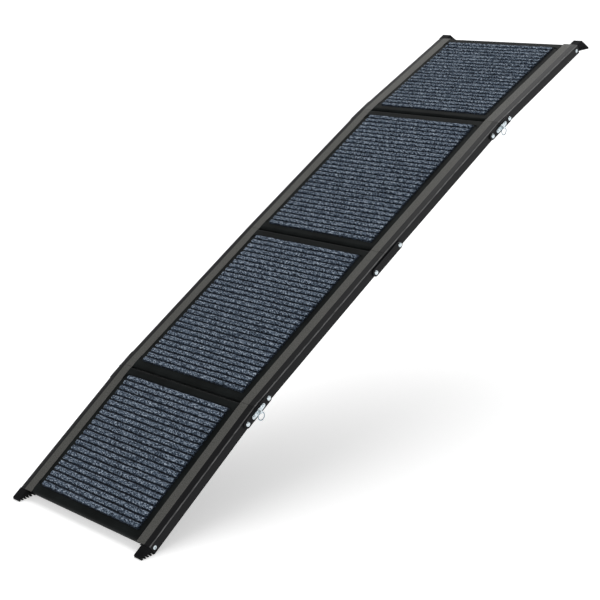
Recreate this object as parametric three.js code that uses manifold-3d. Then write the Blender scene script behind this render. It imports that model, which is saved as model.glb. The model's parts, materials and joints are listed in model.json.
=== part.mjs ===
// A folding dog ramp. Four sections are hinged end to end and stand as a low arch, from the ground up to
// a vehicle's sill. Each section is a ribbed deck panel between two hollow side rails, with a carpet on it.
//
// Units are millimetres. The origin is midway between the two upper feet, on the sill. +X runs across the
// ramp, +Y runs level from the ground end to the sill, and +Z points up. Inside a section's group, +Y runs
// up the slope from the section's lower end, and Z = 0 is the top of its rails. Inside a link's group, the
// origin is the seam between its two sections. Every side piece is made for the +X side and mirrored.

import * as THREE from 'three';
import { mergeVertices } from 'three/addons/utils/BufferGeometryUtils.js';
import Module from 'manifold-3d';

const wasm = await Module();
wasm.setup();

// ---------------------------------------------------------------- driving dimensions

const outerLength = 330;        // lower and upper sections
const innerLength = 438;        // the two middle sections
const lowerPitch = 32.4;        // degrees, slope of the lower section in use
const outerBend = 4.6;          // degrees, fall of slope across the lower and the upper joint
const middleBend = 0.9;         // degrees, fall of slope across the middle joint

const rampHalf = 204;           // half the width over the rails
const flangeInner = 167;        // inner edge of a rail's top flange
const flangeOuter = 189;        // where the flat of the flange turns into the sloping shoulder
const railHeight = 22;
const wall = 2;
const shoulderDrop = 1.4;
const edgeRadius = 1.6;
const hollowFall = 0.6;         // fall of the hollow's roof under the sloping shoulder
const slotTop = 2.2;            // slot for the deck panel, depths below the rail's top
const slotBottom = 12;
const boxInner = 187.4;         // inner face of the rail's hollow box
const railRake = 2;             // how far the foot of a hinged rail end is set back
const touch = 0.3;              // gap between pieces that touch

const outerReach = 34;          // pivot to seam at the lower and upper joints
const outerDepth = 12;          // pivot below the rail's top
const middleReach = 43;
const middleDepth = 15;
const linkThickness = 3;
const outerLinkRadius = 9;
const middleLinkRadius = 8.8;
const pivotRadius = 3.5;

const panelEdge = 2.2;          // from a section's end to its panel's rounded nose
const stripWidth = 19;          // raised strip across each end of a panel
const stripTop = 0.8;
const fieldTop = -0.6;
const panelBottom = -11.7;
const panelChamfer = 1.5;       // along the panel's bottom edges
const panelNose = 4.4;          // radius of the panel's rounded ends
const stripRun = 0.6;           // run of the slope from a strip down to the field
const ribThickness = 3;         // ribs under the panel
const ribSpacing = 72;          // rough spacing of the ribs that run across
const cellsAcross = 6;
const panelSkin = 2.8;
const panelBorder = 10;
const carpetHalf = 153;
const carpetMargin = 20;
const carpetTop = 4.5;

const footInner = 183;
const footTop = -1;
const groundHeel = -22.5;       // height of the lower foot's sole at the rail's end
const sillHeel = -17.5;         // the same for the upper foot
const lowerFootLength = 27;
const upperFootLength = 37;
const toothPitch = 6.5;
const toothSlot = 2.8;
const toothDepth = 8;
const footBrow = 19;            // from the rail's end to where the upper foot's top starts to slope
const toeHeight = 3;
const plugLength = 28;
const screwDepth = 13;
const screwInset = 7;
const screwRadius = 1.7;
const screwHole = 2;
const screwLength = 10;
const screwHead = 4.2;          // countersunk, flush with the rail's side
const screwRim = 0.3;           // straight edge of the screw's head
const sinkGap = 0.4;            // radial gap round the screw's head

const rivetHead = 5;
const rivetHeadHeight = 3;
const rivetTail = 4.6;
const rivetTailHeight = 3.6;

const lockRadius = 4.2;         // lock pin's tip, which the spring bears on
const lockTipLength = 1.1;
const lockTipChamfer = 0.3;
const lockTipGap = 0.4;         // from the rail's side to the lock pin's tip
const earReach = 15;            // lock housing's ends either side of the pin
const earRadius = 4.5;
const earThickness = 1.5;
const barrelRadius = 6;
const barrelLength = 4.2;
const chamberRadius = 4.6;
const chamberRoof = 1;
const stemRadius = 2.1;         // lock pin, from its tip to its knob
const stemHole = 2.5;
const knobRadius = 3.2;
const knobLength = 5.4;
const eyeRadius = 1.9;
const springTurns = 3;
const springRadius = 3.4;       // to the middle of its wire
const springWire = 0.35;
const ringRadius = 8.2;         // pull ring, to the middle of its wire
const ringWire = 1;

const rad = THREE.MathUtils.degToRad;
const sectionNames = ['lower', 'lower_middle', 'upper_middle', 'upper'];
const lengths = [outerLength, innerLength, innerLength, outerLength];
const bends = [outerBend, middleBend, outerBend];
const pitches = [lowerPitch];
for (const bend of bends) pitches.push(pitches.at(-1) - bend);
const upperPitch = pitches.at(-1);

// ---------------------------------------------------------------- materials

function finish(color, roughness, metalness) {
  return new THREE.MeshStandardMaterial({ color, roughness, metalness });
}

const anodised = finish(0x3a3835, 0.5, 0.6);
const moulded = finish(0x1d2020, 0.6, 0);
const carpetPile = finish(0x39424f, 0.95, 0);
const rubber = finish(0x1a1a1a, 0.8, 0);
const blackSteel = finish(0x222224, 0.5, 0.4);
const zinc = finish(0xc4c9cc, 0.3, 1);
const springSteel = finish(0x9a9a9a, 0.4, 1);

// ---------------------------------------------------------------- geometry helpers

function solid(geometry) {
  const bare = geometry.clone();
  bare.deleteAttribute('normal');
  bare.deleteAttribute('uv');
  const merged = mergeVertices(bare, 1e-4);
  const vertProperties = merged.attributes.position.array;
  const triVerts = Uint32Array.from(merged.index.array);
  return new wasm.Manifold(new wasm.Mesh({ numProp: 3, vertProperties, triVerts }));
}

function geometryOf(body) {
  const { vertProperties, triVerts } = body.getMesh();
  const geometry = new THREE.BufferGeometry();
  geometry.setAttribute('position', new THREE.BufferAttribute(vertProperties, 3));
  geometry.setIndex(new THREE.BufferAttribute(triVerts, 1));
  geometry.computeVertexNormals();
  return geometry;
}

function cut(geometry, cutters) {
  let body = solid(geometry);
  for (const cutter of cutters) body = body.subtract(solid(cutter));
  return geometryOf(body);
}

function join(geometries) {
  return geometryOf(geometries.map(solid).reduce((whole, piece) => whole.add(piece)));
}

function mirrorX(geometry) {
  const copy = geometryOf(solid(geometry)).scale(-1, 1, 1);
  const { array } = copy.index;
  for (let i = 0; i < array.length; i += 3) [array[i], array[i + 1]] = [array[i + 1], array[i]];
  return copy;
}

function box([x0, x1], [y0, y1], [z0, z1]) {
  const geometry = new THREE.BoxGeometry(x1 - x0, y1 - y0, z1 - z0);
  return geometry.translate((x0 + x1) / 2, (y0 + y1) / 2, (z0 + z1) / 2);
}

// A round bar along X
function bar(radius, [x0, x1], y, z, sides = 16) {
  const geometry = new THREE.CylinderGeometry(radius, radius, x1 - x0, sides);
  return geometry.rotateZ(Math.PI / 2).translate((x0 + x1) / 2, y, z);
}

// A turned piece about the X axis, from [radius, x] pairs that run from low to high x
function turned(profile, sides = 12) {
  const points = profile.map(([radius, x]) => new THREE.Vector2(radius, x));
  return new THREE.LatheGeometry(points, sides).rotateZ(-Math.PI / 2);
}

// An outline drawn in (y, z), given thickness along X from x0 to x1
function acrossX(outline, [x0, x1], curveSegments = 8) {
  const settings = { depth: x1 - x0, bevelEnabled: false, curveSegments };
  const axes = new THREE.Matrix4().makeBasis(
    new THREE.Vector3(0, 1, 0),
    new THREE.Vector3(0, 0, 1),
    new THREE.Vector3(1, 0, 0),
  );
  return new THREE.ExtrudeGeometry(outline, settings).applyMatrix4(axes).translate(x0, 0, 0);
}

function outlineOf(points) {
  return new THREE.Shape(points.map(([y, z]) => new THREE.Vector2(y, z)));
}

function roundHole(y, z, radius) {
  const hole = new THREE.Path();
  hole.absarc(y, z, radius, 0, Math.PI * 2, true);
  return hole;
}

// A flat bar with round ends, centred on (0, z), with its end centres at y = -reach and +reach
function roundEnded(reach, z, radius) {
  const outline = new THREE.Shape();
  outline.absarc(reach, z, radius, -Math.PI / 2, Math.PI / 2, false);
  outline.absarc(-reach, z, radius, Math.PI / 2, Math.PI * 1.5, false);
  return outline;
}

// ---------------------------------------------------------------- where the sections and links stand

// A point (y, z) of a frame tilted by pitch degrees about start
function tilted(start, pitch, [y, z]) {
  const c = Math.cos(rad(pitch));
  const s = Math.sin(rad(pitch));
  return [start[0] + y * c - z * s, start[1] + y * s + z * c];
}

const groundSlope = Math.tan(rad(lowerPitch));
const sillSlope = Math.tan(rad(upperPitch));

const fromGround = [[0, 0]];
lengths.forEach((length, i) => fromGround.push(tilted(fromGround[i], pitches[i], [length, 0])));
const soleMiddle = [outerLength + upperFootLength / 2, sillHeel - sillSlope * upperFootLength / 2];
const sill = tilted(fromGround[3], upperPitch, soleMiddle);
const seams = fromGround.map(([y, z]) => [y - sill[0], z - sill[1]]);

const joints = [
  { name: 'lower', below: 0, reach: outerReach, depth: outerDepth, radius: outerLinkRadius, locked: true },
  { name: 'middle', below: 1, reach: middleReach, depth: middleDepth, radius: middleLinkRadius },
  { name: 'upper', below: 2, reach: outerReach, depth: outerDepth, radius: outerLinkRadius, locked: true },
];
for (const joint of joints) {
  const halfBend = bends[joint.below] / 2;
  joint.pitch = pitches[joint.below] - halfBend;
  joint.seam = seams[joint.below + 1];
  [joint.pivotY, joint.pivotZ] = tilted([0, 0], -halfBend, [joint.reach, -joint.depth]);
}

const ramp = new THREE.Group();

function tiltedGroup([y, z], pitch) {
  const group = new THREE.Group();
  group.position.set(0, y, z);
  group.rotation.x = rad(pitch);
  ramp.add(group);
  return group;
}

function place(group, name, geometry, material) {
  const mesh = new THREE.Mesh(geometry, material);
  mesh.name = name;
  group.add(mesh);
}

function placePair(group, name, geometry, material) {
  place(group, name('right'), geometry, material);
  place(group, name('left'), mirrorX(geometry), material);
}

// ---------------------------------------------------------------- rails

function railProfile() {
  const topEdge = -shoulderDrop - edgeRadius;
  const shoulderTilt = Math.atan2(shoulderDrop, rampHalf - flangeOuter);
  const profile = new THREE.Shape();
  profile.moveTo(flangeInner, -slotTop);
  profile.lineTo(flangeInner, 0);
  profile.lineTo(flangeOuter, 0);
  profile.absarc(rampHalf - edgeRadius, topEdge, edgeRadius, Math.PI / 2 - shoulderTilt, 0, true);
  profile.lineTo(rampHalf, -railHeight);
  profile.lineTo(boxInner, -railHeight);
  profile.lineTo(boxInner, -slotBottom - wall);
  profile.lineTo(flangeInner, -slotBottom - wall);
  profile.lineTo(flangeInner, -slotBottom);
  profile.lineTo(boxInner - wall, -slotBottom);
  profile.lineTo(boxInner - wall, -slotTop);
  const hollow = new THREE.Path();
  hollow.moveTo(boxInner + wall, -shoulderDrop - wall);
  hollow.lineTo(boxInner + wall, -railHeight + wall);
  hollow.lineTo(rampHalf - wall, -railHeight + wall);
  hollow.lineTo(rampHalf - wall, -shoulderDrop - wall - hollowFall);
  profile.holes.push(hollow);
  return profile;
}

// A hinged end leans back towards its foot, so that only the tops of two rails meet at a seam
function rakeEnds(geometry, length, hingedLow, hingedHigh) {
  const { position } = geometry.attributes;
  for (let i = 0; i < position.count; i += 1) {
    const setBack = touch + railRake * (-position.getZ(i) / railHeight);
    if (hingedLow && position.getY(i) < 1) position.setY(i, setBack);
    if (hingedHigh && position.getY(i) > length - 1) position.setY(i, length - setBack);
  }
  return geometry;
}

function rail(index) {
  const length = lengths[index];
  const settings = { depth: length, bevelEnabled: false, curveSegments: 3 };
  const blank = new THREE.ExtrudeGeometry(railProfile(), settings).rotateX(Math.PI / 2);
  rakeEnds(blank.translate(0, length, 0), length, index > 0, index < 3);
  const through = [rampHalf - 2 * wall, rampHalf + 2 * wall];
  const cutters = [];
  for (const { below, reach, depth, pivotZ, locked } of joints) {
    const end = { [below]: length, [below + 1]: 0 }[index];
    if (end === undefined) continue;
    const inward = end ? -1 : 1;
    cutters.push(bar(pivotRadius + touch, through, end + inward * reach, -depth));
    if (locked) cutters.push(bar(lockRadius + touch, through, end, pivotZ));
  }
  const footEnd = { 0: screwInset, 3: length - screwInset }[index];
  if (footEnd) cutters.push(bar(screwHole, through, footEnd, -screwDepth, 12), screwSink(footEnd));
  return cut(blank, cutters);
}

// ---------------------------------------------------------------- deck panels and carpets

function deckPanel(length) {
  const outline = new THREE.Shape();
  outline.moveTo(panelEdge + panelChamfer, panelBottom);
  outline.lineTo(length - panelEdge - panelChamfer, panelBottom);
  outline.lineTo(length - panelEdge, panelBottom + panelChamfer);
  outline.lineTo(length - panelEdge, stripTop - panelNose);
  outline.absarc(length - panelEdge - panelNose, stripTop - panelNose, panelNose, 0, Math.PI / 2, false);
  outline.lineTo(length - stripWidth, stripTop);
  outline.lineTo(length - stripWidth - stripRun, fieldTop);
  outline.lineTo(stripWidth + stripRun, fieldTop);
  outline.lineTo(stripWidth, stripTop);
  outline.absarc(panelEdge + panelNose, stripTop - panelNose, panelNose, Math.PI / 2, Math.PI, false);
  outline.lineTo(panelEdge, panelBottom + panelChamfer);
  const half = flangeInner - touch;
  const tongueZ = [panelBottom, -slotTop - touch];
  const tongueY = [panelEdge + 1, length - panelEdge - 1];
  const tongueEnd = boxInner - wall - touch;
  const blank = join([
    acrossX(outline, [-half, half], 5),
    box([half - 1, tongueEnd], tongueY, tongueZ),
    box([-tongueEnd, 1 - half], tongueY, tongueZ),
  ]);
  return cut(blank, underside(length));
}

// Pockets that leave the panel a thin top with ribs below it
function underside(length) {
  const along = Math.round(length / ribSpacing);
  const cellX = (2 * flangeInner - panelBorder) / cellsAcross;
  const cellY = (length - 2 * panelBorder) / along;
  const z = [panelBottom - 1, fieldTop - panelSkin];
  const pocket = (start, size) => [start + ribThickness / 2, start + size - ribThickness / 2];
  const pockets = [];
  for (let i = 0; i < cellsAcross; i += 1) {
    for (let j = 0; j < along; j += 1) {
      const x = (i - cellsAcross / 2) * cellX;
      pockets.push(box(pocket(x, cellX), pocket(panelBorder + j * cellY, cellY), z));
    }
  }
  return pockets;
}

function carpet(length) {
  const along = [carpetMargin, length - carpetMargin];
  return box([-carpetHalf, carpetHalf], along, [fieldTop + touch, carpetTop]);
}

// ---------------------------------------------------------------- feet and their screws

// The sole's teeth, as points from the heel at the rail to the toe. The sole is a straight line from heel
// to toe, and each slot between two teeth runs up towards the deck.
function toothedSole(heel, toe, topOf) {
  const run = Math.hypot(toe[0] - heel[0], toe[1] - heel[1]);
  const teeth = Math.round(run / toothPitch);
  const pitch = (run + toothSlot) / teeth;
  const at = (distance) => {
    const share = distance / run;
    return [heel[0] + (toe[0] - heel[0]) * share, heel[1] + (toe[1] - heel[1]) * share];
  };
  const points = [heel];
  for (let i = 1; i < teeth; i += 1) {
    const near = at(i * pitch - toothSlot);
    const far = at(i * pitch);
    const roof = near[1] + Math.min(toothDepth, 0.5 * (topOf(far[0]) - near[1]));
    points.push(near, [near[0], roof], [far[0], roof], far);
  }
  return [...points, toe];
}

// The rubber foot at one end: its outline in (y, z), with a plug that fills the rail's hollow
function foot(outline, plugY, screwY) {
  const plugX = [boxInner + wall + touch, rampHalf - wall - touch];
  const plugZ = [-railHeight + wall + touch, -shoulderDrop - wall - hollowFall - touch];
  const body = join([
    acrossX(outlineOf(outline), [footInner, rampHalf]),
    box(plugX, plugY, plugZ),
  ]);
  const hole = bar(screwHole, [rampHalf - screwLength - 2, rampHalf + 1], screwY, -screwDepth, 12);
  return cut(body, [hole, screwSink(screwY)]);
}

function lowerFoot() {
  const heel = [-touch, groundHeel + touch * groundSlope];
  const toe = [-lowerFootLength, groundHeel + lowerFootLength * groundSlope];
  const sole = toothedSole(heel, toe, () => footTop);
  const nose = [[toe[0] + 1, toe[1] + toeHeight], [toe[0] + toeHeight, footTop]];
  const outline = [...sole, ...nose, [-touch, footTop]];
  return foot(outline, [-touch - 1, plugLength], screwInset);
}

function upperFoot() {
  const end = outerLength + touch;
  const heel = [end, sillHeel - touch * sillSlope];
  const toe = [outerLength + upperFootLength, sillHeel - upperFootLength * sillSlope];
  const brow = outerLength + footBrow;
  const noseSlope = (footTop - toe[1] - toeHeight) / (toe[0] + 1 - brow);
  const topOf = (y) => (y < brow ? footTop : footTop - (y - brow) * noseSlope);
  const sole = toothedSole(heel, toe, topOf);
  const nose = [[toe[0] + 1, toe[1] + toeHeight], [brow + 1, footTop - 1], [brow - 1, footTop]];
  const outline = [...sole, ...nose, [end, footTop]];
  return foot(outline, [outerLength - plugLength, end + 1], outerLength - screwInset);
}

const screwNeck = rampHalf - screwRim - (screwHead - screwRadius);

function footScrew(y) {
  const tip = rampHalf - screwLength;
  return turned([
    [0, tip], [screwRadius, tip + 1], [screwRadius, screwNeck],
    [screwHead, rampHalf - screwRim], [screwHead, rampHalf], [0, rampHalf],
  ]).translate(0, y, -screwDepth);
}

// The countersink that the screw's head lies in, so that the middle links can pass over it in the fold
function screwSink(y) {
  return turned([
    [0, screwNeck], [screwRadius + sinkGap, screwNeck], [screwHead + sinkGap, rampHalf - screwRim],
    [screwHead + sinkGap, rampHalf + 1], [0, rampHalf + 1],
  ]).translate(0, y, -screwDepth);
}

// ---------------------------------------------------------------- hinge links and pivot rivets

const linkX = [rampHalf + touch, rampHalf + touch + linkThickness];

function link({ pivotY, pivotZ, radius, locked }) {
  const outline = roundEnded(pivotY, pivotZ, radius);
  outline.holes.push(roundHole(pivotY, pivotZ, pivotRadius + touch));
  outline.holes.push(roundHole(-pivotY, pivotZ, pivotRadius + touch));
  if (locked) outline.holes.push(roundHole(0, pivotZ, lockRadius + touch));
  return acrossX(outline, linkX);
}

function pivotRivet(y, z) {
  const tail = rampHalf - wall - touch;
  const tailEnd = tail - rivetTailHeight;
  const head = linkX[1] + touch;
  return turned([
    [0, tailEnd], [rivetTail - 0.8, tailEnd], [rivetTail, tailEnd + 0.8], [rivetTail, tail],
    [pivotRadius, tail], [pivotRadius, head],
    [rivetHead, head], [rivetHead, head + 1.2], [rivetHead - 1.4, head + 2.5], [0, head + rivetHeadHeight],
  ]).translate(0, y, z);
}

// ---------------------------------------------------------------- lock plungers

const housingBase = linkX[1] + touch;
const barrelEnd = housingBase + barrelLength;
const chamberEnd = barrelEnd - chamberRoof;
const pinTip = [rampHalf + lockTipGap, rampHalf + lockTipGap + lockTipLength];
const knob = [barrelEnd + touch, barrelEnd + touch + knobLength];
const eyeX = (knob[0] + knob[1]) / 2;

function lockHousing(z) {
  const ears = acrossX(roundEnded(earReach, z, earRadius), [housingBase, housingBase + earThickness]);
  const barrel = bar(barrelRadius, [housingBase + 0.5, barrelEnd], 0, z);
  return cut(join([ears, barrel]), [
    bar(chamberRadius, [housingBase - 1, chamberEnd], 0, z),
    bar(stemHole, [housingBase - 1, barrelEnd + 1], 0, z, 12),
  ]);
}

function lockPin() {
  const profile = [
    [0, pinTip[0]], [lockRadius - lockTipChamfer, pinTip[0]], [lockRadius, pinTip[0] + lockTipChamfer],
    [lockRadius, pinTip[1]], [stemRadius, pinTip[1]], [stemRadius, knob[0]],
    [knobRadius, knob[0]], [knobRadius, knob[1] - 0.7], [knobRadius - 0.7, knob[1]], [0, knob[1]],
  ];
  const eye = new THREE.CylinderGeometry(eyeRadius, eyeRadius, 10, 12).translate(eyeX, 0, 0);
  return cut(turned(profile), [eye]);
}

// The coil spring between the pin's tip and the end of the housing's chamber
class Helix extends THREE.Curve {
  getPoint(t, target = new THREE.Vector3()) {
    const start = pinTip[1] + springWire + touch;
    const end = chamberEnd - springWire - touch;
    const angle = springTurns * 2 * Math.PI * t;
    const x = start + (end - start) * t;
    return target.set(x, springRadius * Math.cos(angle), springRadius * Math.sin(angle));
  }
}

function lockSpring(z) {
  const wireOutline = new THREE.Shape();
  wireOutline.absarc(0, 0, springWire, 0, Math.PI * 2, false);
  const settings = { steps: 36, extrudePath: new Helix(), curveSegments: 3, bevelEnabled: false };
  return new THREE.ExtrudeGeometry(wireOutline, settings).translate(0, 0, z);
}

function pullRing() {
  const ring = new THREE.TorusGeometry(ringRadius, ringWire, 6, 24).rotateY(Math.PI / 2);
  return ring.translate(eyeX, 0, -ringRadius);
}

// ---------------------------------------------------------------- assembly

sectionNames.forEach((name, i) => {
  const group = tiltedGroup(seams[i], pitches[i]);
  placePair(group, (side) => `${name}_${side}_rail`, rail(i), anodised);
  place(group, `${name}_deck_panel`, deckPanel(lengths[i]), moulded);
  place(group, `${name}_carpet`, carpet(lengths[i]), carpetPile);
  if (i === 0) {
    placePair(group, (side) => `${name}_${side}_foot`, lowerFoot(), rubber);
    placePair(group, (side) => `${name}_${side}_foot_screw`, footScrew(screwInset), zinc);
  }
  if (i === 3) {
    placePair(group, (side) => `${name}_${side}_foot`, upperFoot(), rubber);
    placePair(group, (side) => `${name}_${side}_foot_screw`, footScrew(outerLength - screwInset), zinc);
  }
});

for (const joint of joints) {
  const { name, pivotY, pivotZ, locked } = joint;
  const group = tiltedGroup(joint.seam, joint.pitch);
  placePair(group, (side) => `${name}_${side}_link`, link(joint), blackSteel);
  placePair(group, (side) => `${name}_${side}_low_rivet`, pivotRivet(-pivotY, pivotZ), zinc);
  placePair(group, (side) => `${name}_${side}_high_rivet`, pivotRivet(pivotY, pivotZ), zinc);
  if (!locked) continue;
  placePair(group, (side) => `${name}_${side}_lock_housing`, lockHousing(pivotZ), zinc);
  placePair(group, (side) => `${name}_${side}_lock_spring`, lockSpring(pivotZ), springSteel);
  // The pin can turn in its housing, so its eye stays level and the ring hangs straight down
  const level = tiltedGroup(tilted(joint.seam, joint.pitch, [0, pivotZ]), 0);
  placePair(level, (side) => `${name}_${side}_lock_pin`, lockPin(), zinc);
  placePair(level, (side) => `${name}_${side}_pull_ring`, pullRing(), zinc);
}

export default ramp;
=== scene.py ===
"""A folding dog ramp: the looks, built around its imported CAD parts.

Everything is in metres, in the row's frame: +X across the ramp, +Y level towards the sill, +Z up.
Each section's pieces are drawn in that section's own frame, which is measured on its CAD nodes: +Y runs
up the slope from the section's lower end, and Z = 0 is the top of its rails. Side pieces are drawn for
the +X side and mirrored.
"""

import json
import math

import bmesh
import bpy
import numpy as np
from mathutils import Matrix, Vector


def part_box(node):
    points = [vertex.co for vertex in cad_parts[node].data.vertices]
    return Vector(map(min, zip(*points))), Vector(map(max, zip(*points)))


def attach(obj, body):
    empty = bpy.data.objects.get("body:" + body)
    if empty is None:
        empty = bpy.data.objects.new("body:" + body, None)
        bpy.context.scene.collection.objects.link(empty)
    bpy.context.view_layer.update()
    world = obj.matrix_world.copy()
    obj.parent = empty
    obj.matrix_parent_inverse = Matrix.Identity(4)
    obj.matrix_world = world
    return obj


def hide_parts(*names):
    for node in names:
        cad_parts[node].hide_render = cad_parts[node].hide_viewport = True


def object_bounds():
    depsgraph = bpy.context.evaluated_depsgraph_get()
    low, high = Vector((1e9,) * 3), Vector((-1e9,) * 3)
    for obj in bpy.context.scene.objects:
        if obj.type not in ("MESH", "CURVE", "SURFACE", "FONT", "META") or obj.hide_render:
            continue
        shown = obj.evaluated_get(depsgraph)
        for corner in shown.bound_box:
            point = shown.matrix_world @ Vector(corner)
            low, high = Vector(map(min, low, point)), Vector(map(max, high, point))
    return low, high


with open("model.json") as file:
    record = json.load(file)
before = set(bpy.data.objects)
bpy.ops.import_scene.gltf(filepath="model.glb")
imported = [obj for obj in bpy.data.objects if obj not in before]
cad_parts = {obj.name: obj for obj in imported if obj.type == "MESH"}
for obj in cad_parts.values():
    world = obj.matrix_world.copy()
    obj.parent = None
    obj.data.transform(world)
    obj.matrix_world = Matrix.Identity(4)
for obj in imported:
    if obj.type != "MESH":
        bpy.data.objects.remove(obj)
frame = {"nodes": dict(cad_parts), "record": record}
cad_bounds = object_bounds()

MM = 0.001
SECTIONS = ("lower", "lower_middle", "upper_middle", "upper")
HINGES = ("lower", "middle", "upper")
LOCKED = ("lower", "upper")       # the hinges that have locks
END_SECTIONS = ("lower", "upper")
SIDES = ("right", "left")
ENDS = ("low", "high")

RIB_PITCH = 13.25 * MM          # carpet ribs, rough: each carpet has a whole number of them
ROWS_PER_RIB = 14
GROOVE_FLOOR = 1.0 * MM         # height of the bottom of the grooves over the rails' tops
GROOVE_HALF = 1.4 * MM          # half the width of a groove's flat bottom
RIB_SHOULDER = 3.4 * MM         # width over which a rib rises
RIB_WANDER = 0.04               # how far a rib strays from its line, as a share of the ribs' pitch
COLUMN_STEP = 2 * MM            # a carpet's mesh across the ramp
PILE_UNEVEN = 0.35 * MM
PAINTED_SHADE_TOP = 3.6 * MM            # height over the rails' tops at which the grooves' painted shade has gone
CARPET_EDGE = 2.5 * MM          # width over which the carpet's cut edge rounds off
STRIP_WIDTH = 19 * MM           # raised strip across each end of a deck panel
STRIP_STEP = 1.4 * MM
STRIP_FILLET = 13 * MM
NOSE_RADIUS = 4.4 * MM
NOSE_LENGTH = 8 * MM            # the roll at a panel's lower end, seen from above
PANEL_LIP = 0.8 * MM            # how far a panel's end reaches into the seam, below its rounded nose
PANEL_SKIN = 2.8 * MM
PANEL_RIB = 3 * MM
PANEL_BORDER = 10 * MM
CELL_LENGTH = 72 * MM           # rough length of a pocket under a panel
CELLS_ACROSS = 6
FLANGE_WIDTH = 22 * MM          # the grooved flat of a rail's top
GROOVE_COUNT = 17
GROOVE_DEPTH = 0.22 * MM
SHOULDER_DROP = 1.4 * MM
EDGE_RADIUS = 1.6 * MM
RAIL_WALL = 2 * MM
HOLLOW_FALL = 0.6 * MM
BOX_WIDTH = 16.6 * MM           # a rail's hollow box, outside
SLOT_TOP = 2.2 * MM
SLOT_BOTTOM = 12 * MM
NOTCH_RADIUS = 4.5 * MM
PIVOT_HOLE = 3.5 * MM
SINK_RADIUS = 4.4 * MM
TOP_BAND = 0.5 * MM             # a rail's faces this near its top belong to the grooved flat
EAR_REACH = 15 * MM             # from a lock's axis to its ear rivets
EAR_THICKNESS = 1.5 * MM
GAP = 0.3 * MM                  # between pieces that touch

BODY_OF = {n: b for b, nodes in frame["record"]["behaviour"]["bodies"].items() for n in nodes}
SLOT_OF = {s["node"]: s["material_slot"] for s in frame["record"]["subparts"]}


# ---------------------------------------------------------------- measuring the frame

def points_of(node):
    """A CAD node's separate points, in the row's frame."""
    points = [v.co[:] for v in frame["nodes"][node].data.vertices]
    return np.unique(np.round(np.array(points, float), 6), axis=0)


def tilted_frame(slope, origin_y, origin_z):
    """The frame with its origin at (0, origin_y, origin_z) and its +Y along slope, a (y, z) direction."""
    y, z = slope
    return Matrix(((1, 0, 0, 0), (0, y, -z, origin_y), (0, z, y, origin_z), (0, 0, 0, 1)))


def section_frame(section):
    """A section's own frame. Its carpet is a box, so the box's axes give the slope."""
    carpet = points_of(f"{section}_carpet")[:, 1:]
    slope = np.linalg.svd(carpet - carpet.mean(0))[2][0]
    slope = slope * np.sign(slope[0])
    normal = np.array([-slope[1], slope[0]])
    rail = points_of(f"{section}_right_rail")[:, 1:]
    corner = slope * (rail @ slope).min() + normal * (rail @ normal).max()
    return tilted_frame(slope, *corner)


def local_points(node, place):
    """A CAD node's separate points in the frame place."""
    inverse = np.array(place.inverted())
    return points_of(node) @ inverse[:3, :3].T + inverse[:3, 3]


def local_box(node, place):
    """Lowest and highest corner of a CAD node in the frame place."""
    points = local_points(node, place)
    return Vector(points.min(0)), Vector(points.max(0))


def centre_of(node):
    low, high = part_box(node)
    return (low + high) / 2


def level_frame(node):
    """The row's axes at a CAD node's height and distance, with X = 0 midway across the ramp."""
    centre = centre_of(node)
    return Matrix.Translation((0, centre.y, centre.z))


def link_frame(hinge):
    """A link's frame: its origin is midway between its two pivots, and +Y runs through them."""
    low = centre_of(f"{hinge}_right_low_rivet")
    high = centre_of(f"{hinge}_right_high_rivet")
    run = (high - low).normalized()
    middle = (low + high) / 2
    return tilted_frame((run.y, run.z), middle.y, middle.z)


# ---------------------------------------------------------------- shader nodes

def new_material(name, color, roughness, metallic=0.0, specular=0.5):
    """A material with its colour and gloss set, ready for its texture nodes."""
    material = bpy.data.materials.new(name)
    material.use_nodes = True
    shader = material.node_tree.nodes["Principled BSDF"]
    shader.inputs["Base Color"].default_value = (*color, 1)
    shader.inputs["Roughness"].default_value = roughness
    shader.inputs["Metallic"].default_value = metallic
    shader.inputs["Specular IOR Level"].default_value = specular
    return material


def add_node(material, kind, links=None, **values):
    """A node of a kind, with its input values set and its inputs linked from other nodes' outputs."""
    node = material.node_tree.nodes.new(kind)
    for key, value in values.items():
        node.inputs[key.replace("_", " ")].default_value = value
    for key, output in (links or {}).items():
        material.node_tree.links.new(output, node.inputs[key])
    return node


def to_shader(material, key, output):
    shader = material.node_tree.nodes["Principled BSDF"]
    material.node_tree.links.new(output, shader.inputs[key])


def object_space(material, scale):
    """Coordinates in the piece's own frame, scaled along each axis."""
    coordinates = add_node(material, "ShaderNodeTexCoord")
    links = {"Vector": coordinates.outputs["Object"]}
    return add_node(material, "ShaderNodeMapping", links, Scale=scale).outputs["Vector"]


def noise(material, scale, detail=3.0, roughness=0.6):
    """Noise whose features are about 1/scale metres in size; scale has one number for each axis."""
    links = {"Vector": object_space(material, scale)}
    node = add_node(material, "ShaderNodeTexNoise", links, Scale=1.0, Detail=detail, Roughness=roughness)
    return node.outputs["Fac"]


def ramp(material, factor, stops):
    """Colours along factor, from (position, colour) pairs in linear light."""
    node = add_node(material, "ShaderNodeValToRGB", {"Fac": factor})
    elements = node.color_ramp.elements
    while len(elements) < len(stops):
        elements.new(0.5)
    for element, (position, color) in zip(elements, stops):
        element.position = position
        element.color = (*color, 1)
    return node.outputs["Color"]


def spread(material, factor, low, high, out_low, out_high):
    """factor's stretch from low to high, brought to out_low to out_high."""
    node = add_node(material, "ShaderNodeMapRange", {"Value": factor})
    for key, value in (("From Min", low), ("From Max", high), ("To Min", out_low), ("To Max", out_high)):
        node.inputs[key].default_value = value
    return node.outputs["Result"]


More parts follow.
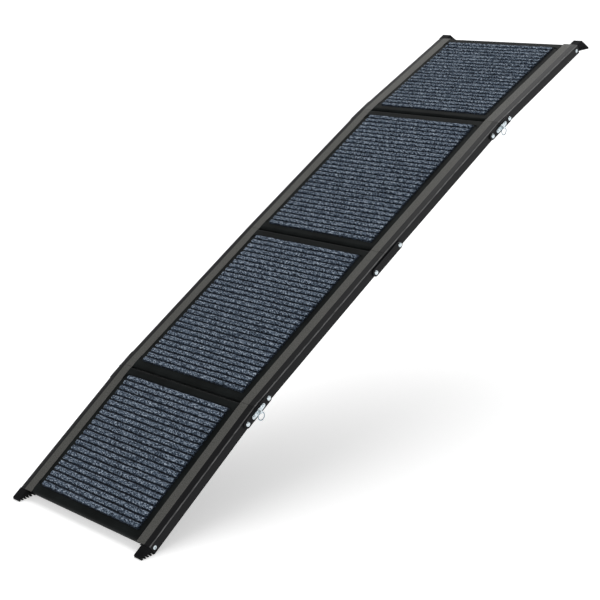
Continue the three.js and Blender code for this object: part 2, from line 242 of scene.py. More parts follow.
def multiplied(material, first, second):
    """Two colours multiplied together."""
    node = material.node_tree.nodes.new("ShaderNodeMix")
    node.data_type = "RGBA"
    node.blend_type = "MULTIPLY"
    node.inputs["Factor"].default_value = 1
    sockets = [i for i in node.inputs if i.type == "RGBA"]
    material.node_tree.links.new(first, sockets[0])
    material.node_tree.links.new(second, sockets[1])
    return next(o for o in node.outputs if o.type == "RGBA")


def bump(material, height, strength, distance):
    node = add_node(material, "ShaderNodeBump", {"Height": height}, Strength=strength, Distance=distance)
    to_shader(material, "Normal", node.outputs["Normal"])


# ---------------------------------------------------------------- materials

def make_carpet():
    """Needle-punched pile of dark navy fibre, heathered with slate and pale blue-grey; painted shade
    darkens the grooves between the ribs.
    """
    material = new_material("carpet", (0.06, 0.07, 0.09), roughness=0.95, specular=0.1)
    shader = material.node_tree.nodes["Principled BSDF"]
    shader.inputs["Sheen Weight"].default_value = 0.06
    flecks = noise(material, (230, 420, 420), detail=2.0, roughness=0.8)
    navy = (0.006, 0.008, 0.013)
    slate = (0.034, 0.052, 0.079)
    steel_blue = (0.096, 0.134, 0.190)
    pale = (0.46, 0.53, 0.62)
    painted_groove_shade = (0.10, 0.11, 0.13)
    unshaded = (1, 1, 1)
    stops = [(0.40, navy), (0.46, slate), (0.54, steel_blue), (0.66, pale)]
    heather = ramp(material, flecks, stops)
    height = add_node(material, "ShaderNodeSeparateXYZ", {"Vector": object_space(material, (1, 1, 1))})
    # painted shade: the colour darkens towards the bottom of the grooves, by height, for the shade that
    # falls there
    depth = spread(material, height.outputs["Z"], GROOVE_FLOOR, PAINTED_SHADE_TOP, 0, 1)
    painted_shade = ramp(material, depth, [(0.45, painted_groove_shade), (0.95, unshaded)])
    to_shader(material, "Base Color", multiplied(material, heather, painted_shade))
    fibres = noise(material, (1100, 1500, 1500), detail=2.0)
    bump(material, fibres, strength=0.8, distance=0.6 * MM)
    return material


def make_flange_with_painted_light():
    """The grooved top of a rail: anodised a warm dark grey, with a dulled, slightly uneven surface. It is
    coloured much lighter than the rail's sides, partly for its matt grooved finish and partly as painted
    light falling on the top.
    """
    # partly painted light: this colour and the grain's stops are lighter than the sides' colour, partly for
    # the matt finish and partly for the light falling on the top from above
    color = (0.10, 0.10, 0.09)
    material = new_material("anodised_grooved_painted_light", color, roughness=0.5, metallic=0.1, specular=0.15)
    grain = noise(material, (420, 420, 420), detail=2.0)
    stops = [(0.32, (0.066, 0.066, 0.061)), (0.68, (0.125, 0.124, 0.116))]
    to_shader(material, "Base Color", ramp(material, grain, stops))
    to_shader(material, "Roughness", spread(material, grain, 0.3, 0.7, 0.42, 0.60))
    bump(material, grain, strength=0.35, distance=0.15 * MM)
    return material


def make_anodised():
    """The smooth faces of a rail: dark anodised, drawn along its length."""
    material = new_material("anodised_smooth", (0.008, 0.008, 0.008), roughness=0.38, specular=0.12)
    drawn = noise(material, (1600, 8, 1600))
    stops = [(0.3, (0.005, 0.005, 0.006)), (0.7, (0.010, 0.010, 0.011))]
    to_shader(material, "Base Color", ramp(material, drawn, stops))
    to_shader(material, "Roughness", spread(material, drawn, 0.3, 0.7, 0.34, 0.48))
    bump(material, drawn, strength=0.15, distance=0.05 * MM)
    return material


def make_painted_highlight_edge():
    """The edge between a rail's shoulder and its side, coloured lighter and glossier as a painted highlight
    along its rounded curve.
    """
    # painted highlight: a lighter colour on the rounded edge, where the light catches its curve
    color = (0.12, 0.12, 0.12)
    material = new_material("anodised_painted_highlight", color, roughness=0.4, metallic=0.3, specular=0.4)
    highlight_variation = noise(material, (900, 60, 900), detail=2.0)
    stops = [(0.35, (0.05, 0.05, 0.05)), (0.65, (0.17, 0.17, 0.17))]
    to_shader(material, "Base Color", ramp(material, highlight_variation, stops))
    to_shader(material, "Roughness", spread(material, highlight_variation, 0.3, 0.7, 0.34, 0.48))
    return material


def make_moulded(name, dark, light, roughness, grain_size, strength):
    """Moulded plastic or rubber: a fine all-over grain with slight changes of shade and gloss."""
    material = new_material(name, light, roughness, specular=0.04)
    scale = (1 / grain_size,) * 3
    grain = noise(material, scale)
    clouds = noise(material, (14, 14, 14), detail=2.0)
    to_shader(material, "Base Color", ramp(material, clouds, [(0.35, dark), (0.65, light)]))
    gloss = spread(material, grain, 0.3, 0.7, roughness - 0.06, roughness + 0.08)
    to_shader(material, "Roughness", gloss)
    bump(material, grain, strength, distance=0.2 * MM)
    return material


def make_metal(name, dark, light, roughness, metallic):
    """Plated or painted metal, with a faint mottle. Paint, which is not metallic, shines less."""
    specular = 0.5 if metallic else 0.12
    material = new_material(name, light, roughness, metallic, specular)
    mottle = noise(material, (500, 500, 500))
    to_shader(material, "Base Color", ramp(material, mottle, [(0.35, dark), (0.65, light)]))
    to_shader(material, "Roughness", spread(material, mottle, 0.3, 0.7, roughness - 0.06, roughness + 0.08))
    bump(material, mottle, strength=0.1, distance=0.05 * MM)
    return material


MATERIALS = {
    "carpet": make_carpet(),
    "flange": make_flange_with_painted_light(),
    "rail": make_anodised(),
    "edge": make_painted_highlight_edge(),
    "deck_panel": make_moulded(
        "moulded", dark=(0.005, 0.006, 0.006), light=(0.009, 0.011, 0.011),
        roughness=0.52, grain_size=0.5 * MM, strength=0.3,
    ),
    "foot": make_moulded(
        "rubber", dark=(0.005, 0.005, 0.006), light=(0.009, 0.009, 0.010),
        roughness=0.62, grain_size=0.9 * MM, strength=0.6,
    ),
    "link": make_metal(
        "black_steel", dark=(0.005, 0.005, 0.006), light=(0.009, 0.009, 0.010),
        roughness=0.42, metallic=0.0,
    ),
    "zinc": make_metal(
        "zinc_plate", dark=(0.48, 0.55, 0.59), light=(0.76, 0.83, 0.86),
        roughness=0.24, metallic=1.0,
    ),
    "ring": make_metal(
        "ring_plate", dark=(0.17, 0.22, 0.26), light=(0.42, 0.50, 0.54),
        roughness=0.26, metallic=1.0,
    ),
    "spring_steel": make_metal(
        "spring_steel", dark=(0.40, 0.40, 0.40), light=(0.55, 0.55, 0.55),
        roughness=0.3, metallic=1.0,
    ),
}


# ---------------------------------------------------------------- shapes

def arc(centre, radius, start, end, steps):
    """Points on an arc about centre, from start to end degrees."""
    angles = np.radians(np.linspace(start, end, steps + 1))
    return [(centre[0] + radius * math.cos(a), centre[1] + radius * math.sin(a)) for a in angles]


def circle(a, b, radius, sides=32):
    """A circle's points about (a, b)."""
    return arc((a, b), radius, 0, 360 - 360 / sides, sides - 1)


def prism(loops, place, start, end):
    """The solid between start and end whose section has loops as its outline and holes.

    place(a, b, t) gives the 3-D point of the section's point (a, b) at t.
    """
    mesh = bmesh.new()
    rims = {start: [], end: []}
    for loop in loops:
        near = [mesh.verts.new(place(a, b, start)) for a, b in loop]
        far = [mesh.verts.new(place(a, b, end)) for a, b in loop]
        for i in range(len(loop)):
            j = (i + 1) % len(loop)
            mesh.faces.new((near[i], near[j], far[j], far[i]))
            rims[start].append(mesh.edges.get((near[i], near[j])))
            rims[end].append(mesh.edges.get((far[i], far[j])))
    for edges in rims.values():
        bmesh.ops.triangle_fill(mesh, edges=edges, use_beauty=True)
    return mesh


def across(a, b, t):
    """Places a section drawn in (y, z) along X."""
    return (t, a, b)


def along(a, b, t):
    """Places a section drawn in (x, z) along Y."""
    return (a, t, b)


def upright(a, b, t):
    """Places a section drawn in (x, y) along Z."""
    return (a, b, t)


def turned(profile, sides=40):
    """The solid turned about the X axis from (radius, x) pairs that start and end on the axis."""
    mesh = bmesh.new()
    rings = []
    for radius, x in profile:
        if radius == 0:
            rings.append([mesh.verts.new((x, 0, 0))])
            continue
        turns = [2 * math.pi * k / sides for k in range(sides)]
        rings.append([mesh.verts.new((x, radius * math.cos(t), radius * math.sin(t))) for t in turns])
    for near, far in zip(rings, rings[1:]):
        for k in range(sides):
            n = (k + 1) % sides
            corners = [near[k % len(near)], near[n % len(near)], far[n % len(far)], far[k % len(far)]]
            mesh.faces.new(list(dict.fromkeys(corners)))
    return mesh


def box_mesh(low, high):
    """A box, for cutting or joining."""
    section = [(low[0], low[1]), (high[0], low[1]), (high[0], high[1]), (low[0], high[1])]
    return prism([section], upright, low[2], high[2])


def stadium(reach, radius, steps=20):
    """A bar's outline with round ends, their centres at -reach and +reach."""
    return arc((reach, 0), radius, -90, 90, steps) + arc((-reach, 0), radius, 90, 270, steps)


def dome(radius, start, height, steps=7):
    """The (radius, x) pairs of a rivet head's crown, from its rim to its top."""
    angles = np.radians(np.linspace(0, 90, steps + 1))[:-1]
    crown = [(radius * math.cos(a), start + height * math.sin(a)) for a in angles]
    return [*crown, (0, start + height)]


def merged(meshes):
    """Several separate solids as one mesh."""
    whole = bmesh.new()
    for mesh in meshes:
        data = bpy.data.meshes.new("part")
        mesh.to_mesh(data)
        mesh.free()
        whole.from_mesh(data)
        bpy.data.meshes.remove(data)
    return whole


def combined(mesh, tool, operation):
    """mesh with tool cut from it or joined to it, as a new mesh."""
    objects = []
    for source in (mesh, tool):
        bmesh.ops.recalc_face_normals(source, faces=source.faces)
        data = bpy.data.meshes.new("working")
        source.to_mesh(data)
        source.free()
        objects.append(bpy.data.objects.new("working", data))
        bpy.context.scene.collection.objects.link(objects[-1])
    modifier = objects[0].modifiers.new("combine", "BOOLEAN")
    modifier.operation = operation
    modifier.solver = "EXACT"
    modifier.object = objects[1]
    evaluated = objects[0].evaluated_get(bpy.context.evaluated_depsgraph_get())
    result = bmesh.new()
    result.from_mesh(evaluated.to_mesh())
    evaluated.to_mesh_clear()
    for made in objects:
        data = made.data
        bpy.data.objects.remove(made)
        bpy.data.meshes.remove(data)
    return result


def add_piece(node, mesh, place, mirrored=False, name=None, bevel=0.0, replace=True, crease=35):
    """Makes mesh a piece that rides with a CAD node and stands for it."""
    if mirrored:
        bmesh.ops.scale(mesh, vec=(-1, 1, 1), verts=mesh.verts)
    bmesh.ops.recalc_face_normals(mesh, faces=mesh.faces)
    # a thin sheet's faces can come out pointing in
    if mesh.calc_volume(signed=True) < 0:
        bmesh.ops.reverse_faces(mesh, faces=mesh.faces)
    data = bpy.data.meshes.new(name or f"{node}_fine")
    mesh.to_mesh(data)
    mesh.free()
    data.shade_smooth()
    data.set_sharp_from_angle(angle=math.radians(crease))
    piece = bpy.data.objects.new(data.name, data)
    bpy.context.scene.collection.objects.link(piece)
    piece.matrix_world = place
    data.materials.append(MATERIALS[SLOT_OF[node]])
    if bevel:
        soften(piece, bevel)
    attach(piece, BODY_OF[node])
    if replace:
        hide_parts(node)
    return piece


def soften(piece, width):
    """Rounds a piece's sharp edges."""
    modifier = piece.modifiers.new("soften", "BEVEL")
    modifier.width = width
    modifier.segments = 2
    modifier.limit_method = "ANGLE"
    modifier.angle_limit = math.radians(40)


# ---------------------------------------------------------------- carpets

def smooth_noise(random, rows, columns, row_step, column_step):
    """Random heights from -1 to 1 that change smoothly over about so many rows and columns."""
    coarse = random.uniform(-1, 1, (rows // row_step + 3, columns // column_step + 3))
    r = np.arange(rows) / row_step
    c = np.arange(columns) / column_step
    r0, c0 = r.astype(int), c.astype(int)
    fr, fc = (r - r0)[:, None], (c - c0)[None, :]
    fr, fc = fr * fr * (3 - 2 * fr), fc * fc * (3 - 2 * fc)
    low = coarse[r0][:, c0] * (1 - fc) + coarse[r0][:, c0 + 1] * fc
    high = coarse[r0 + 1][:, c0] * (1 - fc) + coarse[r0 + 1][:, c0 + 1] * fc
    return low * (1 - fr) + high * fr


def rib_heights(random, x, y, low, high):
    """Heights over the rails' tops at a grid's points: ribs across the ramp, with an uneven pile."""
    rows, columns = x.shape
    length = high.y - low.y
    ribs = round(length / RIB_PITCH)
    phase = (y - low.y) / length * ribs
    phase = phase + RIB_WANDER * smooth_noise(random, rows, columns, ROWS_PER_RIB, column_step=14)
    to_groove = np.abs(phase - np.round(phase)) * length / ribs
    rise = np.clip((to_groove - GROOVE_HALF) / RIB_SHOULDER, 0, 1)
    ridge = np.sqrt(1 - (1 - rise) ** 2)
    tuft_height = 0.3 + 0.7 * ridge
    tufts = smooth_noise(random, rows, columns, row_step=2, column_step=2) * tuft_height
    return GROOVE_FLOOR + (high.z - PILE_UNEVEN - GROOVE_FLOOR) * ridge + PILE_UNEVEN * tufts


def closed_grid(x, y, z, centre):
    """A grid of points as a surface, with its rim joined to centre by a fan that closes its underside."""
    rows, columns = x.shape
    points = [*np.stack([x, y, z], -1).reshape(-1, 3).tolist(), centre]
    number = np.arange(rows * columns).reshape(rows, columns)
    quads = np.stack([number[:-1, :-1], number[:-1, 1:], number[1:, 1:], number[1:, :-1]], -1)
    rim = [*number[0, :-1], *number[:-1, -1], *number[-1, :0:-1], *number[:0:-1, 0]]
    back = [(int(b), int(a), rows * columns) for a, b in zip(rim, rim[1:] + rim[:1])]
    data = bpy.data.meshes.new("grid")
    data.from_pydata(points, [], [*quads.reshape(-1, 4).tolist(), *back])
    mesh = bmesh.new()
    mesh.from_mesh(data)
    bpy.data.meshes.remove(data)
    return mesh


def carpet(section, place, seed):
    """A ribbed carpet: a closed sheet with round ribs across it and an uneven pile."""
    node = f"{section}_carpet"
    low, high = local_box(node, place)
    width, length = high.x - low.x, high.y - low.y
    rows = ROWS_PER_RIB * round(length / RIB_PITCH) + 1
    columns = round(width / COLUMN_STEP) + 1
    x = np.linspace(low.x, high.x, columns)[None, :].repeat(rows, 0)
    y = np.linspace(low.y, high.y, rows)[:, None].repeat(columns, 1)
    height = rib_heights(np.random.default_rng(seed), x, y, low, high)
    to_edge = np.minimum(np.minimum(x - low.x, high.x - x), np.minimum(y - low.y, high.y - y))
    inset = np.clip(to_edge / CARPET_EDGE, 0, 1)
    z = low.z + (height - low.z) * np.sqrt(1 - (1 - inset) ** 2)
    centre = ((low.x + high.x) / 2, (low.y + high.y) / 2, low.z)
    piece = add_piece(node, closed_grid(x, y, z, centre), place, crease=80)


# ---------------------------------------------------------------- deck panels

def recess(half, start, end):
    """The outline, in (x, y), of the field between a panel's end strips.

    The strips widen in a fillet where they meet the rails.
    """
    r = STRIP_FILLET
    past_side = half + 5 * MM
    quarter = arc((half - r, start + r), r, -90, 0, 10)
    right = [*quarter, (past_side, start + r)]
    upper_right = [(x, start + end - y) for x, y in reversed(right)]
    left = [(-x, y) for x, y in reversed(right + upper_right)]
    return right + upper_right + left


def pockets(half, start, end, bottom, roof):
    """The hollows under a panel, which leave ribs between them."""
    count = round((end - start) / CELL_LENGTH)
    wide = (2 * half - PANEL_BORDER) / CELLS_ACROSS
    long = (end - start - 2 * PANEL_BORDER) / count
    cells = []
    for i in range(CELLS_ACROSS):
        for j in range(count):
            x = (i - CELLS_ACROSS / 2) * wide
            y = start + PANEL_BORDER + j * long
            near = (x + PANEL_RIB / 2, y + PANEL_RIB / 2, bottom - MM)
            far = (x + wide - PANEL_RIB / 2, y + long - PANEL_RIB / 2, roof)
            cells.append(box_mesh(near, far))
    return merged(cells)


def deck_panel(section, place):
    """A moulded panel: round noses, a raised strip across each end, and ribs underneath."""
    node = f"{section}_deck_panel"
    low, high = local_box(node, place)
    half = local_box(f"{section}_right_rail", place)[0].x - GAP
    r = NOSE_RADIUS
    lip = high.z - r - MM
    outline = [(low.y - PANEL_LIP, lip), (low.y - PANEL_LIP, low.z), (high.y + PANEL_LIP, low.z)]
    outline += [(high.y + PANEL_LIP, lip), (high.y, high.z - r)]
    outline += arc((high.y - r, high.z - r), r, 0, 90, 10)[1:]
    roll = arc((1, 0), 1, 90, 180, 12)
    outline += [(low.y + NOSE_LENGTH * a, high.z - r + r * b) for a, b in roll]
    mesh = prism([outline], across, -half, half)
    field = high.z - STRIP_STEP
    strip = STRIP_WIDTH - low.y
    cutter = prism([recess(half, low.y + strip, high.y - strip)], upright, field, high.z + MM)
    mesh = combined(mesh, cutter, "DIFFERENCE")
    mesh = combined(mesh, pockets(half, low.y, high.y, low.z, field - PANEL_SKIN), "DIFFERENCE")
    tongue_top = -SLOT_TOP - GAP
    near, far = low.y + MM, high.y - MM
    tongues = [
        box_mesh((half - MM, near, low.z), (high.x, far, tongue_top)),
        box_mesh((low.x, near, low.z), (MM - half, far, tongue_top)),
    ]
    mesh = combined(mesh, merged(tongues), "UNION")
    add_piece(node, mesh, place, bevel=0.35 * MM)


# ---------------------------------------------------------------- rails

def rail_section(low, high):
    """A rail's outline and its hollow, in (x, z), from its inner edge low.x to its side high.x."""
    top_edge = -SHOULDER_DROP - EDGE_RADIUS
    flange_end = low.x + FLANGE_WIDTH
    tilt = math.degrees(math.atan2(SHOULDER_DROP, high.x - flange_end))
    margin = MM
    pitch = (FLANGE_WIDTH - 2 * margin) / GROOVE_COUNT
    top_corner = 0.4 * MM
    foot_corner = 0.5 * MM
    outline = [(low.x, -SLOT_TOP), (low.x, -top_corner), (low.x + top_corner, 0)]
    for i in range(GROOVE_COUNT):
        x = low.x + margin + i * pitch
        outline += [(x, 0), (x + 0.3 * pitch, -GROOVE_DEPTH), (x + 0.6 * pitch, -GROOVE_DEPTH)]
        outline += [(x + 0.9 * pitch, 0)]
    outline += [(flange_end, 0)]
    outline += arc((high.x - EDGE_RADIUS, top_edge), EDGE_RADIUS, 90 - tilt, 0, 6)
    box = high.x - BOX_WIDTH
    outline += [(high.x, low.z + foot_corner), (high.x - foot_corner, low.z), (box + foot_corner, low.z)]
    outline += [(box, low.z + foot_corner), (box, -SLOT_BOTTOM - RAIL_WALL)]
    outline += [(low.x, -SLOT_BOTTOM - RAIL_WALL), (low.x, -SLOT_BOTTOM)]
    outline += [(box - RAIL_WALL, -SLOT_BOTTOM), (box - RAIL_WALL, -SLOT_TOP)]
    roof = -SHOULDER_DROP - RAIL_WALL
    hollow = [
        (box + RAIL_WALL, roof),
        (box + RAIL_WALL, low.z + RAIL_WALL),
        (high.x - RAIL_WALL, low.z + RAIL_WALL),
        (high.x - RAIL_WALL, roof - HOLLOW_FALL),
    ]
    return outline, hollow


def rail_rakes(node, place):
    """How far each end of the CAD rail is set back at its underside."""
    points = local_points(node, place)
    tolerance = 0.1 * MM
    underside = points[points[:, 2] < points[:, 2].min() + tolerance]
    return underside[:, 1].min() - points[:, 1].min(), points[:, 1].max() - underside[:, 1].max()


def rail_holes(low, high, place):
    """The (y, z, radius) of the holes and notches in a rail's side."""
    holes = [(f"{hinge}_right_lock_pin", NOTCH_RADIUS) for hinge in LOCKED]
    holes += [(f"{hinge}_right_{end}_rivet", PIVOT_HOLE) for hinge in HINGES for end in ENDS]
    holes += [(f"{section}_right_foot_screw", SINK_RADIUS) for section in END_SECTIONS]
    inverse = place.inverted()
    for node, radius in holes:
        centre = inverse @ centre_of(node)
        if low.y - radius < centre.y < high.y + radius:
            yield centre.y, centre.z, radius


def finish_rail(piece, low, high):
    """Gives a rail's grooved flat, lightened partly by painted light, and its rounded top edge, which
    carries a painted highlight, finishes of their own.
    """
    piece.data.materials.append(MATERIALS["flange"])
    piece.data.materials.append(MATERIALS["edge"])
    grooved, painted_highlight_slot = 1, 2
    edge_start = high.x - EDGE_RADIUS
    for face in piece.data.polygons:
        x, _, z = face.center
        # the grooved flat, whose lighter colour is partly painted light
        if low.x < abs(x) < low.x + FLANGE_WIDTH and z > -TOP_BAND:
            face.material_index = grooved
        # the rounded top edge of the side takes the painted highlight
        elif abs(x) > edge_start and z > -SHOULDER_DROP - EDGE_RADIUS and abs(face.normal.y) < 0.5:
            face.material_index = painted_highlight_slot


def rail(section, side, place):
    """A hollow rail with raked ends, and with the holes and notches in its side."""
    right = f"{section}_right_rail"
    low, high = local_box(right, place)
    low_rake, high_rake = rail_rakes(right, place)
    mesh = prism(rail_section(low, high), along, low.y, high.y)
    middle = (low.y + high.y) / 2
    for vertex in mesh.verts:
        share = vertex.co.z / low.z
        if vertex.co.y < middle:
            vertex.co.y += low_rake * share
        else:
            vertex.co.y -= high_rake * share
    through = (high.x - 2 * RAIL_WALL, high.x + RAIL_WALL)
    for y, z, radius in rail_holes(low, high, place):
        bar = prism([circle(y, z, radius)], across, *through)
        mesh = combined(mesh, bar, "DIFFERENCE")
    piece = add_piece(f"{section}_{side}_rail", mesh, place, mirrored=side == "left")
    finish_rail(piece, low, high)


# ---------------------------------------------------------------- feet and screws

def foot(node):
    """A foot keeps its CAD shape, with its edges rounded."""
    part = frame["nodes"][node]
    part.material_slots[0].material = MATERIALS["foot"]
    soften(part, 0.5 * MM)


def foot_screw(section, side):
    """A countersunk screw with a cross recess, its head just under the rail's side."""
    node = f"{section}_{side}_foot_screw"
    low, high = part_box(f"{section}_right_foot_screw")
    head = (high.z - low.z) / 2
    shank, point, crown = 1.7 * MM, MM, 0.5 * MM
    rim = high.x - crown
    neck = rim - (head - shank)
    profile = [(0, low.x), (shank, low.x + point), (shank, neck), (head, rim)]
    profile += dome(head, rim, high.x - rim)
    mesh = turned(profile)
    arm, half_slot, depth = 2.2 * MM, 0.45 * MM, 1.3 * MM
    slots = [
        box_mesh((high.x - depth, -arm, -half_slot), (high.x + MM, arm, half_slot)),
        box_mesh((high.x - depth, -half_slot, -arm), (high.x + MM, half_slot, arm)),
    ]
    for slot in slots:
        mesh = combined(mesh, slot, "DIFFERENCE")
    add_piece(node, mesh, level_frame(node), mirrored=side == "left", bevel=0.08 * MM)


# ---------------------------------------------------------------- hinges

def link(hinge, side, place):
    """A plate with round ends over its two pivots and, at a lock, a hole for the pin between them."""
    low, high = local_box(f"{hinge}_right_link", place)
    radius = (high.z - low.z) / 2
    reach = (high.y - low.y) / 2 - radius
    loops = [stadium(reach, radius), circle(-reach, 0, PIVOT_HOLE), circle(reach, 0, PIVOT_HOLE)]
    if hinge in LOCKED:
        loops.append(circle(0, 0, NOTCH_RADIUS))
    mesh = prism(loops, across, low.x, high.x)
    add_piece(f"{hinge}_{side}_link", mesh, place, mirrored=side == "left", bevel=0.4 * MM)


def pivot_rivet(hinge, end, side):
    """A pivot rivet: a domed head over the link, and a formed tail inside the rail."""
    right = f"{hinge}_right_{end}_rivet"
    low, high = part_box(right)
    head = (high.z - low.z) / 2
    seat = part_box(f"{hinge}_right_link")[1].x + GAP
    rim = 0.5 * MM
    shank = 3.2 * MM
    tail_face, tail_rim = head - 0.8 * MM, head - 0.4 * MM
    tail_end = low.x + 3.6 * MM
    profile = [(0, low.x), (tail_face, low.x), (tail_rim, tail_end)]
    profile += [(shank, tail_end), (shank, seat), (head, seat), (head, seat + rim)]
    profile += dome(head, seat + rim, high.x - seat - rim)[1:]
    node = f"{hinge}_{side}_{end}_rivet"
    add_piece(node, turned(profile), level_frame(right), mirrored=side == "left")


# ---------------------------------------------------------------- locks

def lock_housing(hinge, side, place):
    """A plunger's barrel on a plate with two ears, bored for the spring and for the pin's stem."""
    node = f"{hinge}_{side}_lock_housing"
    low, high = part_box(f"{hinge}_right_lock_housing")
    barrel, ear, corner = 6 * MM, 4.5 * MM, 1.6 * MM
    spring_bore, stem_bore = 4.6 * MM, 2.5 * MM
    base = low.x + 0.4 * MM
    ears = prism([stadium(EAR_REACH, ear)], across, low.x, low.x + EAR_THICKNESS)
    shoulder = [(r, x) for x, r in arc((high.x - corner, barrel - corner), corner, 90, 0, 6)]
    profile = [(0, base), (barrel, base), *shoulder, (0, high.x)]
    mesh = combined(ears, turned(profile), "UNION")
    for radius, end in ((spring_bore, high.x - MM), (stem_bore, high.x + MM)):
        bore = turned([(0, low.x - MM), (radius, low.x - MM), (radius, end), (0, end)])
        mesh = combined(mesh, bore, "DIFFERENCE")
    add_piece(node, mesh, place, mirrored=side == "left", bevel=0.15 * MM)


def ear_rivet(hinge, side, end, place):
    """The domed rivet head on one ear of a lock's housing."""
    node = f"{hinge}_{side}_lock_housing"
    radius, rim, crown = 3.1 * MM, 0.4 * MM, 1.3 * MM
    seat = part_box(f"{hinge}_right_lock_housing")[0].x + EAR_THICKNESS
    profile = [(0, seat), (radius, seat), (radius, seat + rim)]
    profile += dome(radius, seat + rim, crown)[1:]
    reach = EAR_REACH if end == "high" else -EAR_REACH
    spot = place @ Matrix.Translation((0, reach, 0))
    name = f"{hinge}_{side}_ear_rivet_{end}"
    add_piece(node, turned(profile), spot, mirrored=side == "left", name=name, replace=False)


def lock_pin(hinge, side):
    """The plunger's pin, with the knob that its ring passes through."""
    right = f"{hinge}_right_lock_pin"
    low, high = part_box(right)
    tip, stem, knob, corner = 4.2 * MM, 2.1 * MM, 3.2 * MM, 0.9 * MM
    seat = low.x + 1.1 * MM
    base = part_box(f"{hinge}_right_lock_housing")[1].x + GAP
    profile = [(0, low.x), (tip - GAP, low.x), (tip, low.x + GAP), (tip, seat), (stem, seat)]
    profile += [(stem, base), (knob, base)]
    profile += [(r, x) for x, r in arc((high.x - corner, knob - corner), corner, 90, 0, 6)]
    profile += [(0, high.x)]
    eye_radius, past_knob = 1.9 * MM, 6 * MM
    eye_outline = circle((base + high.x) / 2, 0, eye_radius, sides=24)
    eye = prism([eye_outline], upright, -past_knob, past_knob)
    for vertex in eye.verts:
        vertex.co = (vertex.co.x, vertex.co.z, vertex.co.y)
    mesh = combined(turned(profile), eye, "DIFFERENCE")
    node = f"{hinge}_{side}_lock_pin"
    add_piece(node, mesh, level_frame(right), mirrored=side == "left", bevel=0.1 * MM)


def pull_ring(hinge, side):
    """A split ring: nearly two turns of flat band that lie against each other."""
    right = f"{hinge}_right_pull_ring"
    low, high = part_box(right)
    centre = (low + high) / 2
    half_thick = (high.x - low.x) / 4
    half_wide = 2.6 * half_thick
    radius = (high.z - low.z) / 2 - half_wide
    turns, sides, steps = 1.9, 10, 110
    spokes = [2 * math.pi * s / sides for s in range(sides)]
    oval = [(math.cos(t), math.sin(t)) for t in spokes]
    mesh = bmesh.new()
    rings = []
    for k in range(steps + 1):
        share = k / steps
        angle = 2 * math.pi * turns * share
        x = centre.x + half_thick * 2 * (share - 0.5)
        out = Vector((0, math.sin(angle), math.cos(angle)))
        middle = Vector((x, 0, 0)) + out * radius
        points = [middle + out * half_wide * a + Vector((half_thick * b, 0, 0)) for a, b in oval]
        rings.append([mesh.verts.new(p) for p in points])
    for near, far in zip(rings, rings[1:]):
        for s in range(sides):
            n = (s + 1) % sides
            mesh.faces.new((near[s], near[n], far[n], far[s]))
    mesh.faces.new(rings[0])
    mesh.faces.new(rings[-1])
    node = f"{hinge}_{side}_pull_ring"
    piece = add_piece(node, mesh, level_frame(right), mirrored=side == "left")
    piece.material_slots[0].material = MATERIALS["ring"]


def lock_spring(hinge, side):
    """The spring keeps its CAD shape: it is sealed in its housing."""
    part = frame["nodes"][f"{hinge}_{side}_lock_spring"]
    part.material_slots[0].material = MATERIALS["spring_steel"]


# ---------------------------------------------------------------- the ramp

for index, section in enumerate(SECTIONS):
    own_frame = section_frame(section)
    deck_panel(section, own_frame)
    carpet(section, own_frame, seed=index)
    for side in SIDES:
        rail(section, side, own_frame)

for section in END_SECTIONS:
    for side in SIDES:
        foot(f"{section}_{side}_foot")
        foot_screw(section, side)

for hinge in HINGES:
    own_frame = link_frame(hinge)
    for side in SIDES:
        link(hinge, side, own_frame)
        for end in ENDS:
            pivot_rivet(hinge, end, side)
        if hinge in LOCKED:
            lock_housing(hinge, side, own_frame)
            for end in ENDS:
                ear_rivet(hinge, side, end, own_frame)
            lock_spring(hinge, side)
            lock_pin(hinge, side)
            pull_ring(hinge, side)


# ---------------------------------------------------------------- floor, light and camera

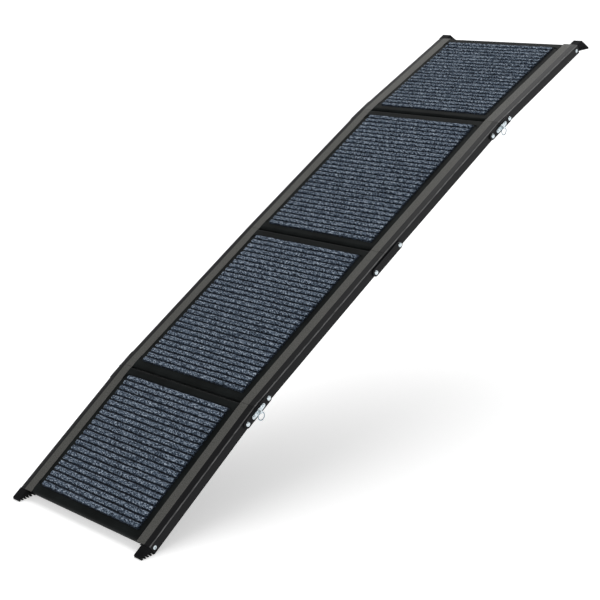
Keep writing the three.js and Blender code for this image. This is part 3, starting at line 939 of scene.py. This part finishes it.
def floor():
    """A plain pale floor at the height of the lower feet's soles."""
    half = 40
    z = cad_bounds[0].z
    data = bpy.data.meshes.new("floor")
    corners = [(-half, -half, z), (half, -half, z), (half, half, z), (-half, half, z)]
    data.from_pydata(corners, [], [(0, 1, 2, 3)])
    material = new_material("floor", (0.8, 0.8, 0.8), roughness=0.9, specular=0.0)
    shader = material.node_tree.nodes["Principled BSDF"]
    shader.inputs["Emission Color"].default_value = (1, 1, 1, 1)
    shader.inputs["Emission Strength"].default_value = 0.48
    data.materials.append(material)
    plane = bpy.data.objects.new("floor", data)
    bpy.context.scene.collection.objects.link(plane)


def soft_sun(name, direction, spread_degrees, strength):
    """A very wide sun, which lights the whole floor evenly as a big softbox would."""
    data = bpy.data.lights.new(name, "SUN")
    data.angle = math.radians(spread_degrees)
    data.energy = strength
    lamp = bpy.data.objects.new(name, data)
    lamp.rotation_euler = Vector(direction).to_track_quat("-Z", "Y").to_euler()
    bpy.context.scene.collection.objects.link(lamp)


def studio():
    """A sky that is white at the horizon and grey overhead, and two wide suns."""
    white = (1, 1, 1)
    grey = (0.28, 0.28, 0.28)
    world = bpy.data.worlds.new("studio")
    world.use_nodes = True
    coordinates = add_node(world, "ShaderNodeTexCoord")
    direction = add_node(world, "ShaderNodeSeparateXYZ", {"Vector": coordinates.outputs["Generated"]})
    sky = ramp(world, direction.outputs["Z"], [(0.24, white), (0.5, grey)])
    world.node_tree.links.new(sky, world.node_tree.nodes["Background"].inputs["Color"])
    world.node_tree.nodes["Background"].inputs["Strength"].default_value = 1
    bpy.context.scene.world = world
    bpy.context.scene.view_settings.view_transform = "Standard"
    soft_sun("overhead", direction=(0.36, -0.58, -1), spread_degrees=50, strength=1.8)
    soft_sun("front", direction=(-0.35, 0.90, -0.40), spread_degrees=60, strength=0.4)


def camera():
    """A long lens from the right of the ground end, turned a little about its own axis."""
    lens = 80.64
    location = Vector((1.9724, -2.6707, 0.4523))
    yaw = math.radians(-46.106)
    down = math.radians(17.880)
    roll = math.radians(-4.241)
    ahead = Vector((math.sin(yaw) * math.cos(down), math.cos(yaw) * math.cos(down), -math.sin(down)))
    level = ahead.cross(Vector((0, 0, 1))).normalized()
    over = level.cross(ahead)
    right = level * math.cos(roll) + over * math.sin(roll)
    top = over * math.cos(roll) - level * math.sin(roll)
    data = bpy.data.cameras.new("camera")
    data.lens = lens
    eye = bpy.data.objects.new("camera", data)
    eye.matrix_world = Matrix((right, top, -ahead)).transposed().to_4x4()
    eye.location = location
    bpy.context.scene.collection.objects.link(eye)
    bpy.context.scene.camera = eye


floor()
studio()
camera()
